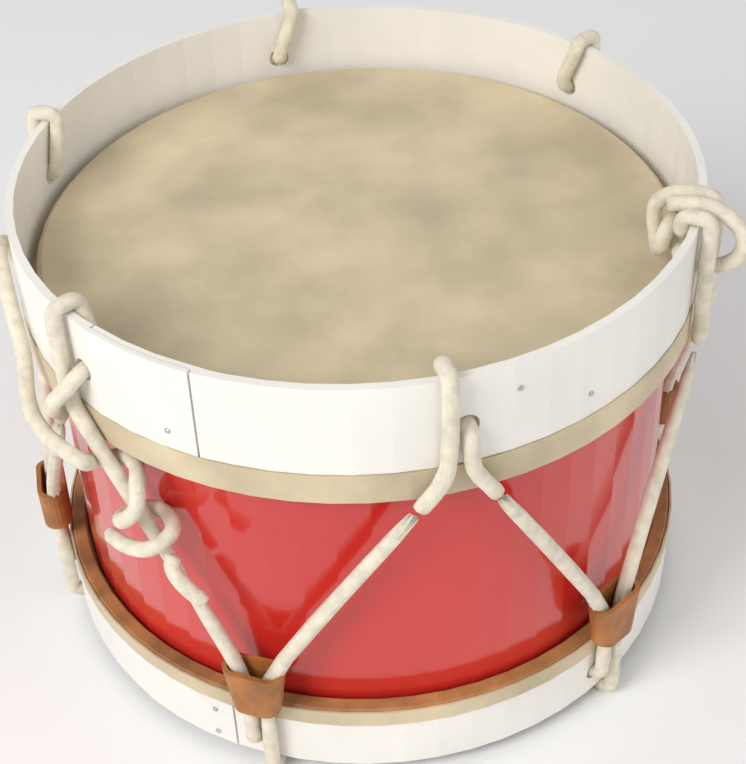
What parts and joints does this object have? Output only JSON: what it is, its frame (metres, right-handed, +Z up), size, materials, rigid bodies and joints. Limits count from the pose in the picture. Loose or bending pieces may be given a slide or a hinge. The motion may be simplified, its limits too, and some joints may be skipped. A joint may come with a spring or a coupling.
{
  "type": "bombo_drum",
  "caption": "Small two-headed wooden drum with white counterhoops, laced with thick cotton rope and tightened by sliding leather ears",
  "frame": {"origin": "On the ground, under the middle of the whole drum's bounding box", "axes": "+Z is up along the drum's axis, -Y is the front in the picture and +X is its right"},
  "size_m": [0.2733, 0.2668, 0.199],
  "materials": {
    "red_paint": "gloss",
    "bare_wood": "raw",
    "white_board": "painted white",
    "skin": "raw hide",
    "rope": "twisted cotton",
    "ear_leather": "smooth",
    "tack_steel": "dull"
  },
  "bodies": {
    "drum": {"shell": "red_paint", "stiffener_top": "bare_wood", "stiffener_bottom": "bare_wood", "head_top": "skin", "head_bottom": "skin", "flesh_hoop_top": "bare_wood", "flesh_hoop_bottom": "bare_wood", "counterhoop_top": "white_board", "counterhoop_bottom": "white_board", "tack_top_1": "tack_steel", "tack_top_2": "tack_steel", "tack_top_3": "tack_steel", "tack_bottom_1": "tack_steel", "tack_bottom_2": "tack_steel", "lace_crown_1": "rope", "lace_crown_2_knot": "rope", "lace_crown_2_leg": "rope", "lace_crown_3": "rope", "lace_crown_4": "rope", "lace_crown_5": "rope", "lace_crown_6": "rope", "lace_spare_end": "rope", "lace_tail": "rope", "lace_strand_1_left": "rope", "lace_strand_1_right": "rope", "lace_strand_2_left": "rope", "lace_strand_2_right": "rope", "lace_strand_3_left": "rope", "lace_strand_3_right": "rope", "lace_strand_4_left": "rope", "lace_strand_4_right": "rope", "lace_strand_5_left": "rope", "lace_strand_5_right": "rope", "lace_strand_6_left": "rope", "lace_strand_6_right": "rope", "lace_foot_1": "rope", "lace_foot_2": "rope", "lace_foot_3": "rope", "lace_foot_4": "rope", "lace_foot_5": "rope", "lace_foot_6": "rope"},
    "tension_ear_1": {"ear_1": "ear_leather"},
    "tension_ear_2": {"ear_2": "ear_leather"},
    "tension_ear_3": {"ear_3": "ear_leather"},
    "tension_ear_4": {"ear_4": "ear_leather"},
    "tension_ear_5": {"ear_5": "ear_leather"},
    "tension_ear_6": {"ear_6": "ear_leather"}
  },
  "joints": [
    {"name": "ear_1_slide", "type": "slide", "parent": "drum", "child": "tension_ear_1", "axis": [0, 0, 1], "range_m": [0, 0.016], "deforming": ["lace_strand_1_left", "lace_strand_1_right"]},
    {"name": "ear_2_slide", "type": "slide", "parent": "drum", "child": "tension_ear_2", "axis": [0, 0, 1], "range_m": [0, 0.045], "deforming": ["lace_strand_2_left", "lace_strand_2_right"]},
    {"name": "ear_3_slide", "type": "slide", "parent": "drum", "child": "tension_ear_3", "axis": [0, 0, 1], "range_m": [0, 0.045], "deforming": ["lace_strand_3_left", "lace_strand_3_right"]},
    {"name": "ear_4_slide", "type": "slide", "parent": "drum", "child": "tension_ear_4", "axis": [0, 0, 1], "range_m": [0, 0.045], "deforming": ["lace_strand_4_left", "lace_strand_4_right"]},
    {"name": "ear_5_slide", "type": "slide", "parent": "drum", "child": "tension_ear_5", "axis": [0, 0, 1], "range_m": [0, 0.045], "deforming": ["lace_strand_5_left", "lace_strand_5_right"]},
    {"name": "ear_6_slide", "type": "slide", "parent": "drum", "child": "tension_ear_6", "axis": [0, 0, 1], "range_m": [0, 0.045], "deforming": ["lace_strand_6_left", "lace_strand_6_right"]}
  ]
}
